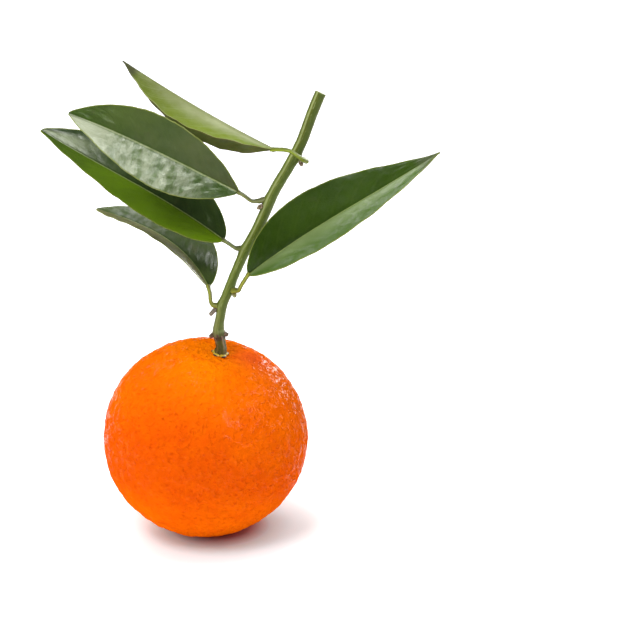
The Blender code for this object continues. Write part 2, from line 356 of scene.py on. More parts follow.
@dataclass(frozen=True)
class LeafFinish:
    """One face of a leaf blade: its ground colour, midrib, side veins, margin and wax.

    A field that ends in _half is 1 or -1 for the half of the blade that has the effect, or 0.
    """

    name: str
    deep: Colour
    ground: Colour
    rib: Colour
    vein: Colour
    margin: Colour
    through: Colour
    stain: Colour
    roughness: float
    shine: float
    vein_count: float = 10.0
    vein_lean: float = 1.7
    vein_strength: float = 0.07
    rib_width: float = 0.34 * MM
    thinness: float = 0.14
    thinner: float = 0.0
    # flush, rim and tip tint one half, the outer part or the tip of a face. On leaves 1, 2, 3 and 5 they are
    # painted light: a painted sheen, or on leaf 3 painted light shining through. The flush on leaves 2 and 4
    # is their own tint.
    flush: Colour = (0.10, 0.16, 0.04)
    flush_half: float = 1.0
    flush_share: float = 0.0
    flush_fade: float = 0.0
    rim: Colour = (0.10, 0.15, 0.03)
    rim_half: float = 0.0
    rim_share: float = 0.0
    tip: Colour = (0.06, 0.08, 0.02)
    tip_from: float = 0.30
    tip_full: float = 0.95
    tip_patch: float = 0.0
    tip_half: float = 0.0
    tip_reach: float = 2.0
    tip_share: float = 0.0
    dull_half: float = 0.0
    dull_share: float = 0.0
    dull_foot: float = 0.0
    burnt: Colour = (0.045, 0.045, 0.018)
    burn: float = 0.0

    def make(self) -> bpy.types.Material:
        """Build the material of this face.

        Returns:
            The material.
        """
        bench = Bench(self.name)
        place = bench.place()
        along, across = bench.value_of("along"), bench.value_of("across")
        from_rib, from_edge = bench.value_of("from_rib"), bench.value_of("from_edge")
        out = abs(across)
        broad = bench.noise(place, 12 * MM, 3.0, 0.55)
        mottle = bench.noise(place, 2.2 * MM, 3.0, 0.6)
        net = bench.cells(place, 0.9 * MM, "DISTANCE_TO_EDGE").step(0.14, 0.02)
        vein = self.side_veins(bench, along, across)
        half = (across * self.flush_half).step(-0.04, 0.04)
        rim_side, tip_side, dull_side = (
            (across * side).step(-0.04, 0.0) for side in (self.rim_half, self.tip_half, self.dull_half)
        )
        rib = from_rib.step(self.rib_width, 0.35 * self.rib_width) * along.step(1.02, 0.80)
        beside = from_rib.step(2.4 * self.rib_width, 0.9 * self.rib_width) - rib
        flat = bench.node("ShaderNodeCombineXYZ", {}, {"X": along * 20.0, "Y": across * 1.6})
        # This patch breaks a painted sheen near the tip into streaks.
        patch = 0.48 + 0.46 * bench.noise(flat, 1.0, 4.0, 0.6).step(0.60, 0.38)
        patch = patch * along.step(0.90, 0.66) * self.tip_patch
        towards_tip = along.step(self.tip_from, self.tip_full) * tip_side * (1.0 - patch)
        towards_tip = towards_tip * out.step(self.tip_reach, self.tip_reach - 0.4)
        flushed = half * (0.6 + 0.8 * broad) * (1.0 - along * self.flush_fade)
        colour = bench.layers(
            self.deep,
            (broad.step(0.30, 0.72), self.ground),
            (mottle.step(0.45, 0.80) * 0.30, self.ground),
            (mottle.step(0.40, 0.15) * 0.35, self.deep),
            (bench.noise(place, 5 * MM).step(0.62, 0.78) * 0.35, self.stain),
            # The flush, rim and tip layers carry painted sheen and painted light on some leaves.
            (flushed * self.flush_share, self.flush),
            (out.step(0.12, 0.75) * rim_side * self.rim_share, self.rim),
            (towards_tip * self.tip_share, self.tip),
            (net * 0.06, self.vein),
            (vein * self.vein_strength, self.vein),
            # Darker strips on either side of the pale midrib, in its groove: painted shade.
            (beside * 0.5, self.deep),
            (rib * (0.85 - 0.5 * along), self.rib),
            (from_edge.step(0.42 * MM, 0.15 * MM) * 0.8, self.margin),
            (along.step(0.86, 0.92) * self.burn, self.burnt),
        )
        dull = (1.0 - dull_side * self.dull_share) * (1.0 - along.step(0.45, 0.0) * self.dull_foot)
        normal = bench.relief(0.5 - vein * 0.35 - net * 0.22 + mottle * 0.30, 0.10 * MM)
        wax = bench.surface(colour, mottle.about(0.55, 0.2), 0.02, {
            "IOR": WAX_IOR,
            "Coat Weight": dull * (0.2 + 0.8 * mottle.step(0.32, 0.66)) * self.shine,
            "Coat Roughness": self.roughness,
            "Coat IOR": WAX_IOR,
            "Normal": normal,
        })
        glow = bench.node("ShaderNodeBsdfTranslucent", {}, {"Color": self.through, "Normal": normal})
        share = (half * self.thinner + self.thinness) * (1.0 - rib * 0.8)
        return bench.close(bench.node("ShaderNodeMixShader", {}, {0: share, 1: wax, 2: glow}))

    def side_veins(self, bench: Bench, along: Wire, across: Wire) -> Wire:
        """Draw the side veins, each at a slant and curving towards the tip, and finer ones between.

        Args:
            bench: the material's bench.
            along: the share of the blade's length.
            across: the share of the half-width, negative on one side.

        Returns:
            The wire of the veins, 1 on a vein and 0 away from it.
        """
        out = abs(across)
        stagger = across.step(-0.02, 0.02) * VEIN_STAGGER
        turn = along * self.vein_count - (out ** VEIN_CURVE) * self.vein_lean + stagger
        line = abs(turn.fraction() - 0.5).step(0.13, 0.02)
        fine = abs((turn * 2.0).fraction() - 0.5).step(0.22, 0.03) * 0.35
        return bench.maths("MAXIMUM", line, fine) * out.step(0.96, 0.70)


@dataclass(frozen=True)
class StemFinish:
    """Green or woody bark: streaks along the stem, pale ridges, corky dots and a worn foot."""

    name: str
    top: Colour
    middle: Colour
    foot: Colour
    collar: Colour
    ridge: Colour
    groove: Colour
    cork: Colour
    roughness: float = 0.45
    streak: float = 0.5
    dots: float = 0.4
    gloss: float = 0.2

    def make(self) -> bpy.types.Material:
        """Build the bark's material.

        Returns:
            The material.
        """
        bench = Bench(self.name)
        place = bench.place()
        up, ridge, east, north, metres = map(bench.value_of, ("up", "ridge", "east", "north", "metres"))
        round_it = bench.node("ShaderNodeCombineXYZ", {}, {"X": east, "Y": north, "Z": metres * 130.0})
        streak = bench.noise(round_it, 0.35, 3.0, 0.6)
        mottle = bench.noise(place, 0.8 * MM, 3.0, 0.6)
        dot = bench.cells(place, 1.3 * MM).step(0.20, 0.10)
        colour = bench.layers(
            bench.ramp(mottle.about(up, 0.06), (0.0, self.collar), (0.03, self.foot), (0.16, self.middle),
                       (0.68, self.middle), (0.80, self.top)),
            (streak.step(0.55, 0.75) * self.streak, self.ridge),
            (streak.step(0.45, 0.25) * self.streak, self.cork),
            (ridge.step(0.10, -0.45) * 0.6, self.groove),
            (ridge.step(0.55, 0.98) * (0.30 + 0.55 * up.step(0.20, 0.50)), self.ridge),
            (dot * self.dots, self.cork),
        )
        normal = bench.relief(mottle * 0.6 + streak * 0.5 + dot * 0.3, 0.10 * MM)
        roughness = mottle.about(self.roughness, 0.2)
        return bench.close(bench.surface(colour, roughness, self.gloss, {"Normal": normal}))


@dataclass(frozen=True)
class CutFinish:
    """The cut end of the twig: pale pith inside a thin green ring."""

    pith: Colour = (0.42, 0.40, 0.20)
    wood: Colour = (0.50, 0.50, 0.30)
    bark: Colour = (0.16, 0.19, 0.05)

    def make(self) -> bpy.types.Material:
        """Build the cut wood's material.

        Returns:
            The material.
        """
        bench = Bench("cut_wood")
        grain = bench.noise(bench.place(), 0.35 * MM, 3.0, 0.6)
        ramp = bench.ramp(grain.about(bench.value_of("ridge"), 0.15), (0.25, self.pith), (0.45, self.wood),
                          (0.80, self.wood), (0.92, self.bark))
        colour = bench.layers(ramp, (grain * 0.3, self.pith))
        normal = bench.relief(grain, 0.12 * MM)
        return bench.close(bench.surface(colour, grain.about(0.6, 0.2), 0.3, {"Normal": normal}))


@dataclass(frozen=True)
class CalyxFinish:
    """The button: yellow-green and lumpy, with dry brown tips."""

    flesh: Colour = (0.54, 0.37, 0.010)
    shade: Colour = (0.42, 0.34, 0.02)
    tip: Colour = (0.045, 0.022, 0.010)

    def make(self) -> bpy.types.Material:
        """Build the button's material.

        Returns:
            The material.
        """
        bench = Bench("calyx_skin")
        mottle = bench.noise(bench.place(), 0.7 * MM, 3.0, 0.6)
        out = mottle.about(bench.value_of("ridge"), 0.25)
        colour = bench.layers(self.flesh, (mottle.step(0.40, 0.75) * 0.6, self.shade),
                              (out.step(0.80, 0.93), self.tip))
        normal = bench.relief(mottle, 0.15 * MM)
        return bench.close(bench.surface(colour, mottle.about(0.55, 0.25), 0.35, {"Normal": normal}))


@dataclass(frozen=True)
class DryFinish:
    """Dry brown scales: papery, streaked and a little frayed to grey at their ends."""

    name: str
    dark: Colour
    pale: Colour

    def make(self) -> bpy.types.Material:
        """Build the dry scale's material.

        Returns:
            The material.
        """
        bench = Bench(self.name)
        mottle = bench.noise(bench.place(), 0.5 * MM, 4.0, 0.65)
        up = bench.value_of("up")
        colour = bench.layers(self.dark, (mottle.step(0.35, 0.70), self.pale),
                              (up.step(0.60, 1.0) * 0.5, self.pale))
        normal = bench.relief(mottle, 0.2 * MM)
        return bench.close(bench.surface(colour, mottle.about(0.75, 0.2), 0.25, {"Normal": normal}))


@dataclass(frozen=True)
class FloorFinish:
    """The white floor: matt, glowing as if lit through from below except close to where the fruit rests, and
    darkened there to a reddish painted shadow.
    """

    white: Colour = (0.90, 0.90, 0.90)
    lift: Colour = (0.27, 0.33, 0.34)
    far_lift: Colour = (0.45, 0.45, 0.45)
    # The near colour and the contact colour are a painted shadow, tinted by the fruit's red bounce, where
    # the fruit rests.
    near: Colour = (0.69, 0.82, 0.88)
    painted_contact_shadow: Colour = (0.56, 0.135, 0.112)
    middle: Point = (4 * MM, -1 * MM, 0.0)
    reach: float = 40 * MM
    lit_over: tuple[float, float] = (8 * MM, 28 * MM)
    far_over: tuple[float, float] = (60 * MM, 300 * MM)

    def make(self) -> bpy.types.Material:
        """Build the floor's material.

        Returns:
            The material.
        """
        bench = Bench("floor_white")
        sockets = {0: bench.place(), 1: self.middle}
        off = bench.node("ShaderNodeVectorMath", {"operation": "SUBTRACT"}, sockets)
        away = bench.node("ShaderNodeVectorMath", {"operation": "LENGTH"}, {0: off}, "Value")
        # Painted shadow: the floor's colour darkens and reddens towards where the fruit rests.
        colour = bench.ramp(away / self.reach, (0.26, self.painted_contact_shadow), (0.42, self.near), (0.56, self.near),
                            (0.82, self.white))
        lift = bench.layers(self.lift, (away.step(*self.far_over), self.far_lift))
        return bench.close(bench.surface(colour, 0.9, 0.1, {
            "Emission Color": bench.layers((0.0, 0.0, 0.0), (away.step(*self.lit_over), lift)),
            "Emission Strength": 1.0,
        }))


# ---------------------------------------------------------------- mesh building

def smooth_route(route: Sequence[Sequence[float]], steps: int) -> list[Vector]:
    """Run one smooth curve through a route.

    Args:
        route: the route's points, in millimetres.
        steps: how many points each stretch gets.

    Returns:
        The curve's points, in metres.
    """
    knots = [Vector(point) * MM for point in route]
    knots = [knots[0] * 2 - knots[1], *knots, knots[-1] * 2 - knots[-2]]
    points = []
    for before, start, end, after in zip(knots, knots[1:], knots[2:], knots[3:]):
        points += [between(before, start, end, after, step / steps) for step in range(steps)]
    return [*points, knots[-2]]


def between(before: Vector, start: Vector, end: Vector, after: Vector, t: float) -> Vector:
    """Return the point at share t between start and end on the curve through four points."""
    return 0.5 * (2 * start + (end - before) * t + (2 * before - 5 * start + 4 * end - after) * t ** 2
                  + (3 * start - before - 3 * end + after) * t ** 3)


def bell(away: float, reach: float) -> float:
    """Return 1 at no distance, fading to nothing over a few reaches."""
    return exp(-((away / reach) ** 2))


def ease(value: float, start: float, end: float) -> float:
    """Return a soft step of a value from 0 at start to 1 at end."""
    t = min(max((value - start) / (end - start), 0.0), 1.0)
    return t * t * (3 - 2 * t)


class Skin:
    """The points, faces and per-point values of one piece while it is shaped."""

    def __init__(self) -> None:
        """Start with nothing."""
        self.points: list[Vector] = []
        self.faces: list[tuple[int, ...]] = []
        self.finish_of: list[int] = []
        self.values: dict[str, list[float]] = {}

    def point(self, place: Vector, **values: float) -> int:
        """Add a point with its values.

        Args:
            place: where it is.
            values: the values that the finishes read there.

        Returns:
            The point's number.
        """
        self.points.append(place)
        for name, value in values.items():
            self.values.setdefault(name, []).append(value)
        return len(self.points) - 1

    def bands(self, rows: Sequence[Sequence[int]], closed: bool = True, finish: int = 0) -> None:
        """Join each row of points to the next one with faces.

        Args:
            rows: the rows; any of them may be one point.
            closed: whether each row is a ring.
            finish: the finish of the faces.
        """
        for lower, upper in zip(rows, rows[1:]):
            count = max(len(lower), len(upper))
            for place in range(count if closed else count - 1):
                corners = [lower[place % len(lower)], lower[(place + 1) % len(lower)],
                           upper[(place + 1) % len(upper)], upper[place % len(upper)]]
                self.faces.append(tuple(dict.fromkeys(corners)))
                self.finish_of.append(finish)

    def spin(self, rings: Sequence, turns: int, add: Callable[..., int]) -> Skin:
        """Shape a closed form ring by ring; its first and last rings are one point.

        Args:
            rings: what each ring is made from.
            turns: how many points a ring has.
            add: adds a ring's point at a turn and returns its number.

        Returns:
            This skin.
        """
        counts = [1] + [turns] * (len(rings) - 2) + [1]
        self.bands([[add(ring, 2 * pi * step / count) for step in range(count)]
                    for ring, count in zip(rings, counts)])
        return self

    def thing(self, name: str, materials: Sequence[bpy.types.Material]) -> bpy.types.Object:
        """Turn the skin into a smooth-shaded object.

        Args:
            name: the object's name.
            materials: its finishes.

        Returns:
            The object, in the scene.
        """
        mesh = bpy.data.meshes.new(name)
        mesh.from_pydata(self.points, [], self.faces)
        mesh.polygons.foreach_set("material_index", self.finish_of)
        for value, numbers in self.values.items():
            mesh.attributes.new(value, "FLOAT", "POINT").data.foreach_set("value", numbers)
        for material in materials:
            mesh.materials.append(material)
        shape = bmesh.new()
        shape.from_mesh(mesh)
        bmesh.ops.recalc_face_normals(shape, faces=shape.faces)
        shape.to_mesh(mesh)
        shape.free()
        mesh.shade_smooth()
        made = bpy.data.objects.new(name, mesh)
        bpy.context.scene.collection.objects.link(made)
        return made


@dataclass
class Piece:
    """What every piece of the mandarin has: the CAD node that it stands for, and its slot."""

    node: str
    slot: Slot

    def settle(self, skin: Skin, *materials: bpy.types.Material) -> bpy.types.Object:
        """Turn a skin into an object that rides on the part in place of its CAD node.

        Args:
            skin: the finished skin.
            materials: its finishes.

        Returns:
            The object.
        """
        thing = skin.thing(f"mandarin_{self.node}", materials)
        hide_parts(self.node)
        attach(thing, "root")
        low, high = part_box(self.node)
        size = " x ".join(f"{side / MM:.1f}" for side in high - low)
        faces = len(thing.data.polygons)
        LOG.info("%s: %d faces in place of %s (%s mm)", thing.name, faces, self.node, size)
        return thing


# ---------------------------------------------------------------- fruit and calyx

@dataclass(frozen=True)
class FruitForm:
    """The fruit's form, which its peel and the button that lies on it share."""

    radius: float = 33.0 * MM
    half_height: float = 32.2 * MM
    centre: Vector = field(default_factory=lambda: Vector((0.0, 0.0, 31.1 * MM)))
    stalk: Vector = field(default_factory=lambda: Vector((5.5, -3.5, 30.1)).normalized())
    dimple_depth: float = 2.2 * MM
    dimple_radius: float = 9.0 * MM
    lobes: int = 3
    lobe_height: float = 0.006

    def matrix(self) -> Matrix:
        """Return where the fruit stands: at its centre, with +Z leaning along the stalk."""
        lean = Vector((0, 0, 1)).rotation_difference(self.stalk)
        return Matrix.Translation(self.centre) @ lean.to_matrix().to_4x4()

    def height(self, radius: float, upness: float) -> float:
        """Return how high the peel stands over the centre at a radius, with its dimple."""
        dimple = self.dimple_depth * bell(radius, self.dimple_radius) if upness > 0 else 0.0
        return self.half_height * upness - dimple

    def dimple(self, radius: float) -> float:
        """Return the peel's height over the centre at a radius near the stalk."""
        return self.height(radius, cos(asin(radius / self.radius)))

    def point(self, polar: float, turn: float) -> Vector:
        """Return a point of the smooth peel about the centre, its stalk along +Z.

        Args:
            polar: the angle from the stalk.
            turn: the angle about the stalk.

        Returns:
            The point.
        """
        lobed = 1.0 + self.lobe_height * cos(self.lobes * turn) * sin(polar) ** 2
        radius = self.radius * sin(polar) * lobed
        return Vector((radius * cos(turn), radius * sin(turn), self.height(radius, cos(polar))))


@dataclass
class Fruit(Piece):
    """The mandarin itself: a lumpy, pebbled ball that rests on a small flat spot.

    bumps holds the height and the size of each layer of bumps, the broadest first.
    """

    form: FruitForm
    turns: int = 372
    rings: int = 250
    bumps: tuple[tuple[float, float], ...] = (
        (0.35 * MM, 17 * MM), (0.20 * MM, 6 * MM), (0.26 * MM, 2.3 * MM), (0.13 * MM, 1.1 * MM),
    )
    furrow: float = 0.30 * MM
    ribs: int = 9
    ring_gap: float = 1.5 * MM
    crease_from: float = 5.5 * MM
    crease_reach: float = 4.5 * MM
    shoulder: Vector = field(default_factory=lambda: Vector((11, 1.5, 29.5)) * MM)
    shoulder_reach: float = 7 * MM

    def crease_at(self, place: Vector, polar: float, turn: float) -> float:
        """Work out how deep in a crease of the stalk's surround a point is, from 0 to 1.

        Args:
            place: the point on the smooth form.
            polar: the angle from the stalk.
            turn: the angle about the stalk.

        Returns:
            The depth.
        """
        away = self.form.radius * sin(min(polar, pi / 2))
        wander = 8.0 * noise.noise(place / (5 * MM))
        ribs = 0.5 + 0.5 * cos(self.ribs * turn + wander)
        rings = 0.5 + 0.5 * cos(away / self.ring_gap * 2 + wander)
        near = bell(away - self.crease_from, self.crease_reach)
        facing = 0.4 + 0.6 * ease(cos(turn - 0.3), -0.6, 0.6)
        return near * facing * (0.45 * ribs ** 4 + 0.45 * rings ** 3)

    def build(self) -> Skin:
        """Shape the fruit, and press its underside flat at floor level.

        Returns:
            The fruit's skin.
        """
        skin = Skin()
        matrix = self.form.matrix()

        def add(ring: int, turn: float) -> int:
            """Add the peel's point of a ring at a turn.

            Args:
                ring: the ring's number.
                turn: the angle.

            Returns:
                The point's number.
            """
            polar = pi * ring / self.rings
            smooth = self.form.point(polar, turn)
            crease = self.crease_at(smooth, polar, turn)
            height = sum(high * noise.noise(smooth / size) for high, size in self.bumps)
            place = matrix @ (smooth + smooth.normalized() * (height - self.furrow * crease))
            place.z = max(place.z, 0.0)
            blush = bell((smooth - self.shoulder).length, self.shoulder_reach)
            return skin.point(place, down=polar / pi, crease=min(crease, 1.0), blush=blush)

        return skin.spin(range(self.rings + 1), self.turns, add)

    def dress(self) -> bpy.types.Object:
        """Build the fruit and give it its peel."""
        return self.settle(self.build(), PeelFinish().make())


@dataclass
class Calyx(Piece):
    """The button in the dimple: five pointed lobes that lie on the peel.

    profile holds the share of the radius and of the thickness of each ring, over the top and back.
    """

    form: FruitForm
    radius: float = 2.95 * MM
    thickness: float = 0.95 * MM
    lump: float = 0.12 * MM
    lobes: int = 5
    lobe_depth: float = 0.30
    turns: int = 100
    profile: tuple[tuple[float, float], ...] = (
        (0.0, 1.0), (0.25, 1.0), (0.45, 1.02), (0.6, 0.95), (0.72, 0.82), (0.83, 0.66), (0.92, 0.56),
        (0.98, 0.46), (1.0, 0.32), (0.98, 0.16), (0.9, 0.05), (0.5, 0.0), (0.0, 0.0),
    )

    def outline(self, turn: float) -> float:
        """Return how far the button reaches at a turn.

        Args:
            turn: the angle about the stalk.

        Returns:
            The radius there.
        """
        wave = abs(cos(0.5 * self.lobes * (turn - 0.31)))
        ragged = 0.04 * noise.noise(Vector((3 * cos(turn), 3 * sin(turn), 0.4)))
        return self.radius * (1 - self.lobe_depth + self.lobe_depth * wave ** 1.3 + ragged)

    def build(self) -> Skin:
        """Shape the button ring by ring, over its top and back underneath.

        Returns:
            The button's skin.
        """
        skin = Skin()
        matrix = self.form.matrix()

        def add(ring: tuple[float, float], turn: float) -> int:
            """Add the button's point of a ring at a turn.

            Args:
                ring: the ring's share of the radius and of the thickness.
                turn: the angle.

            Returns:
                The point's number.
            """
            share, lift = ring
            radius = share * self.outline(turn)
            east, north = radius * cos(turn), radius * sin(turn)
            lump = self.lump * noise.noise(Vector((east, north, lift)) / (0.9 * MM)) * ease(lift, 0.1, 0.5)
            place = Vector((east, north, self.form.dimple(radius) + lift * self.thickness + lump))
            return skin.point(matrix @ place, ridge=radius / self.radius)

        return skin.spin(self.profile, self.turns, add)

    def dress(self) -> bpy.types.Object:
        """Build the button and give it its skin."""
        return self.settle(self.build(), CalyxFinish().make())


# ---------------------------------------------------------------- stems

@dataclass
class Stem(Piece):
    """A stem that follows a route: what the twig, the fruit stalk and the leaf stalks share.

    end_profile holds how far each ring that closes an end draws in and how far it stands out.
    """

    points: list[Vector]
    finishes: list[bpy.types.Material]
    radius_at: Callable[[float, float], float]
    sides: int = 32
    ridges: int = 3
    ridge_height: float = 0.05
    phase: float = 0.0
    roughness: float = 0.0
    grain: float = 1.1 * MM
    foot_along: Vector | None = None
    end_slant: Point = (0.0, 0.0, 0.0)
    bulges: tuple = ()
    cut: bool = False
    end_profile: tuple[tuple[float, float], ...] = (
        (0.90, 0.35), (0.72, 0.25), (0.45, 0.55), (0.2, 0.9), (0.0, 1.0),
    )

    def ridge_at(self, turn: float, up: float) -> float:
        """Return the ridges' height at a turn, from -1 in a groove to 1 on a crest."""
        wave = self.ridges * turn + self.phase + 0.4 * up
        return 0.75 * cos(wave) + 0.25 * cos(2 * wave)

    def bulge_at(self, place: Vector) -> float:
        """Return how far the stem swells at a place near a leaf cushion.

        Args:
            place: a point of the bark.

        Returns:
            The swelling.
        """
        return sum(height * bell((place - Vector(middle) * MM).length, reach)
                   for middle, height, reach in self.bulges)

    def ring(self, skin: Skin, place: int, metres: float, length: float) -> list[int]:
        """Add the ring of points at one place of the route.

        Args:
            skin: the stem's skin.
            place: the number of the route's point.
            metres: how far along the stem it is.
            length: the stem's whole length.

        Returns:
            The points' numbers.
        """
        last = len(self.points) - 1
        centre = self.points[place]
        along = (self.points[min(place + 1, last)] - self.points[max(place - 1, 0)]).normalized()
        if place == 0 and self.foot_along is not None:
            along = self.foot_along
        along = (along + Vector(self.end_slant) * ease(place / last, 0.985, 1.0)).normalized()
        across = (Vector((0, 1, 0)) - along * along.y).normalized()
        beside = along.cross(across)
        share = metres / length
        row = []
        for side in range(self.sides):
            turn = 2 * pi * side / self.sides
            east, north = cos(turn), sin(turn)
            out = east * across + north * beside
            ridge = self.ridge_at(turn, share)
            radius = self.radius_at(share, turn) * (1 + self.ridge_height * ridge)
            radius += self.bulge_at(centre + out * radius)
            radius += self.roughness * noise.noise((centre + out * radius) / self.grain)
            row.append(skin.point(centre + out * radius, ridge=ridge, up=share, metres=metres,
                                  east=east, north=north))
        return row

    def close_end(self, skin: Skin, ring: list[int], lift: float, finish: int) -> None:
        """Close one end of the stem with rings that draw in to a middle point.

        Args:
            skin: the stem's skin.
            ring: the end ring.
            lift: how far the middle stands out of the end.
            finish: the finish of the end.
        """
        middle = sum((skin.points[number] for number in ring), Vector()) / len(ring)
        flat = (skin.points[ring[0]] - middle).cross(skin.points[ring[len(ring) // 4]] - middle).normalized()
        rows = [ring]
        for inward, rise in self.end_profile:
            row = []
            for number in (ring if inward > 0 else ring[:1]):
                place = middle + (skin.points[number] - middle) * inward + flat * lift * rise
                held = {name: numbers[number] for name, numbers in skin.values.items()}
                row.append(skin.point(place, **{**held, "ridge": inward}))
            rows.append(row)
        skin.bands(rows, finish=finish)

    def build(self) -> Skin:
        """Shape the stem from its foot to its end.

        Returns:
            The stem's skin.
        """
        skin = Skin()
        steps = [(b - a).length for a, b in zip(self.points, self.points[1:])]
        rows = [self.ring(skin, place, sum(steps[:place]), sum(steps)) for place in range(len(self.points))]
        skin.bands(rows)
        self.close_end(skin, rows[0], -0.1 * MM, 0)
        self.close_end(skin, rows[-1], 0.12 * MM, 1 if self.cut else 0)
        return skin

    def dress(self) -> bpy.types.Object:
        """Build the stem and give it its bark."""
        return self.settle(self.build(), *self.finishes)


@dataclass(frozen=True)
class TwigSizes:
    """The route and girth of the twig and of the fruit stalk below it."""

    route: tuple[Point, ...] = (
        (5.2, -3.3, 66.6), (5.0, -3.2, 68.5), (5.2, -3.1, 70.5), (5.8, -3.0, 73.6), (6.4, -2.7, 76.7),
        (7.6, -2.4, 79.7), (8.5, -2.0, 81.9), (10.6, -1.0, 87.0), (13.9, 0.2, 94.1), (17.3, 0.8, 100.2),
        (20.0, 1.2, 106.0), (23.1, 1.4, 113.0), (27.1, 1.5, 119.8), (30.4, 1.6, 126.0),
        (32.2, 1.7, 130.0), (34.8, 1.9, 137.2), (37.4, 2.2, 143.5),
    )
    cushions: tuple[Point, ...] = (
        (31.3, 0.9, 122.6), (19.9, 0.9, 109.8), (12.6, 0.0, 94.2), (4.9, -2.9, 76.5), (9.6, -3.1, 81.6),
    )
    radius: float = 1.5 * MM
    stouter: float = 0.24 * MM
    ring_radius: float = 1.95 * MM
    stalk_radius: float = 1.75 * MM
    cushion_height: float = 0.45 * MM
    cushion_reach: float = 1.8 * MM

    def twig(self) -> Stem:
        """Return the twig, wide at the node ring and swollen at each leaf cushion.

        Returns:
            The twig.
        """
        def radius_at(share: float, turn: float) -> float:
            """Return the twig's radius at a share of its length."""
            knot = (self.ring_radius - self.radius) * bell(share, 0.042)
            return (self.radius + self.stouter * ease(share, 0.22, 0.50) + knot
                    + 0.16 * MM * bell(share - 0.012, 0.010))

        bark = StemFinish("twig_bark", top=(0.085, 0.105, 0.005), middle=(0.122, 0.160, 0.020),
                          foot=(0.150, 0.172, 0.038), collar=(0.075, 0.038, 0.026),
                          ridge=(0.300, 0.340, 0.130), groove=(0.050, 0.082, 0.002),
                          cork=(0.042, 0.050, 0.008), streak=0.65)
        bulges = tuple((middle, self.cushion_height, self.cushion_reach) for middle in self.cushions)
        return Stem("twig", Slot.TWIG, smooth_route(self.route, 14), [bark.make(), CutFinish().make()],
                    radius_at, sides=56, ridge_height=0.055, phase=-1.75, roughness=0.06 * MM,
                    end_slant=(0.06, 0.1, 0.0), bulges=bulges, cut=True)

    def peduncle(self, form: FruitForm) -> Stem:
        """Return the fruit stalk between the button and the node ring.

        Args:
            form: the fruit's form, which says where the button lies.

        Returns:
            The stalk.
        """
        foot = form.centre + form.stalk * (form.dimple(self.stalk_radius) + 0.55 * MM)
        head = Vector(self.route[0]) * MM + Vector((0, 0, 0.25 * MM))
        bend = foot + form.stalk * 2.0 * MM

        def radius_at(share: float, turn: float) -> float:
            """Return the stalk's radius at a share of its length."""
            flare = 0.16 * bell(share, 0.22) - 0.05 * bell(share - 0.45, 0.2) + 0.10 * ease(share, 0.7, 1.0)
            return self.stalk_radius * (0.96 + flare)

        bark = StemFinish("stalk_bark", top=(0.060, 0.030, 0.022), middle=(0.084, 0.088, 0.009),
                          foot=(0.100, 0.115, 0.005), collar=(0.160, 0.150, 0.006),
                          ridge=(0.240, 0.150, 0.090), groove=(0.055, 0.045, 0.008),
                          cork=(0.024, 0.012, 0.007), roughness=0.6, streak=0.75, dots=0.6)
        route = smooth_route([point / MM for point in (foot, bend, head)], 16)
        return Stem("peduncle", Slot.STALK, route, [bark.make()], radius_at, sides=56, ridges=5,
                    ridge_height=0.07, roughness=0.22 * MM, foot_along=form.stalk)


# ---------------------------------------------------------------- small dry pieces

@dataclass
class Bud(Piece):
    """A bud in a leaf's axil: a small egg of overlapping scales, its sizes in millimetres."""

    middle: Point
    lie: Point
    half_length: float
    radius: float
    finish: DryFinish
    turns: int = 36
    rings: int = 26

    def build(self) -> Skin:
        """Shape the bud.

        Returns:
            The bud's skin.
        """
        skin = Skin()
        along = Vector(self.lie).normalized()
        across = along.orthogonal().normalized()
        beside = along.cross(across)

        def add(ring: int, turn: float) -> int:
            """Add the bud's point of a ring at a turn.

            Args:
                ring: the ring's number.
                turn: the angle.

            Returns:
                The point's number.
            """
            polar = pi * ring / self.rings
            climb = (3.0 * ring / self.rings + 0.5 * sin(turn) + 0.25 * sin(2 * turn + 1.0)) % 1.0
            width = self.radius * sin(polar) * (1 + 0.15 * cos(polar)) * (0.94 + 0.14 * climb)
            out = cos(turn) * across + sin(turn) * beside
            place = Vector(self.middle) - along * self.half_length * cos(polar) + out * width
            return skin.point(place * MM, up=ring / self.rings)

        return skin.spin(range(self.rings + 1), self.turns, add)

    def dress(self) -> bpy.types.Object:
        """Build the bud and give it its dry skin."""
        return self.settle(self.build(), self.finish.make())


